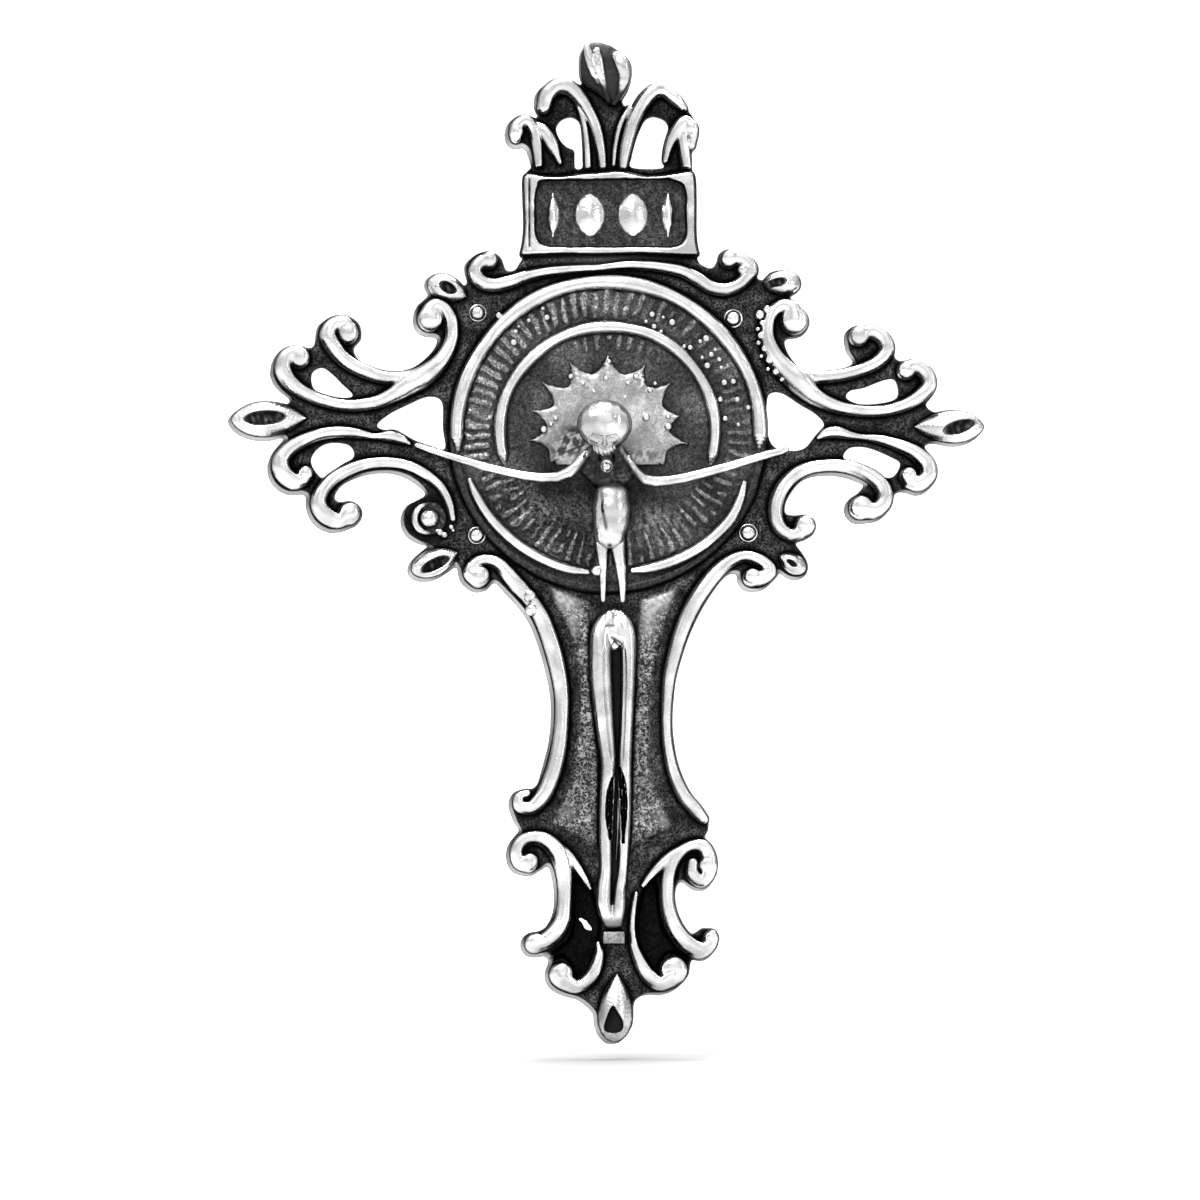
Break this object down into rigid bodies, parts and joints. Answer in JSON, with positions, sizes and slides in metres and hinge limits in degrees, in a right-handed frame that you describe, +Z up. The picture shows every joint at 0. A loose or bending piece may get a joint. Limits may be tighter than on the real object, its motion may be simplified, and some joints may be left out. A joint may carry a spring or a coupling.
{
  "type": "crucifix pendant",
  "caption": "Open-work crucifix pendant with flared scroll arms, haloed medallion, corpus, titulus, crest, studs and a hinged bail on the back.",
  "frame": {"origin": "on the flat back of the plate, behind the centre of the halo", "axes": "+Z up toward the crest, +X to the viewer's right, -Y out of the front, +Y out of the back"},
  "size_m": [0.0527, 0.0091, 0.07],
  "materials": {
    "oxidised_steel": "black oxidised and finely pitted in the recesses, worn bright at the edges",
    "polished_steel": "polished on the crowns, oxidised down the flanks",
    "figure_steel": "soft polish with oxide in the folds",
    "bail_steel": "plain polished steel"
  },
  "bodies": {
    "pendant": {"cross_plate": "oxidised_steel", "medallion_disc": "oxidised_steel", "sunburst": "figure_steel", "halo_outer_ring": "polished_steel", "halo_lower_arc_left": "polished_steel", "halo_lower_arc_right": "polished_steel", "halo_inner_ring": "polished_steel", "corpus_torso": "figure_steel", "corpus_legs": "figure_steel", "foot_rest": "figure_steel", "titulus_board": "polished_steel", "titulus_bud_1": "polished_steel", "titulus_bud_2": "polished_steel", "titulus_bud_3": "polished_steel", "titulus_bud_4": "polished_steel", "border_scroll_top": "polished_steel", "scroll_upper_left": "polished_steel", "scroll_upper_right": "polished_steel", "scroll_outer_lower_left": "polished_steel", "scroll_outer_lower_right": "polished_steel", "scroll_inner_lower_left": "polished_steel", "scroll_inner_lower_right": "polished_steel", "stem_border_left": "polished_steel", "stem_border_right": "polished_steel", "foot_scroll_left": "polished_steel", "foot_scroll_right": "polished_steel", "foot_leaf_left": "polished_steel", "foot_leaf_right": "polished_steel", "crest_scroll_left": "polished_steel", "crest_scroll_right": "polished_steel", "crest_leaf_left": "polished_steel", "crest_leaf_right": "polished_steel", "terminal_left": "polished_steel", "terminal_right": "polished_steel", "corner_leaf_upper_left": "polished_steel", "corner_leaf_upper_right": "polished_steel", "corner_leaf_lower_left": "polished_steel", "corner_leaf_lower_right": "polished_steel", "crest_bud": "polished_steel", "foot_drop": "polished_steel", "stud_upper_left": "polished_steel", "stud_upper_right": "polished_steel", "stud_lower_left": "polished_steel", "stud_lower_right": "polished_steel", "arm_boss_left": "polished_steel", "bail_bracket": "bail_steel", "bail_pin": "bail_steel"},
    "bail": {"bail_loop": "bail_steel"}
  },
  "joints": [
    {"name": "bail_hinge", "type": "hinge", "parent": "pendant", "child": "bail", "pos_m": [0, 0.0023, 0.01645], "axis": [1, 0, 0], "range_deg": [0, 180]}
  ]
}
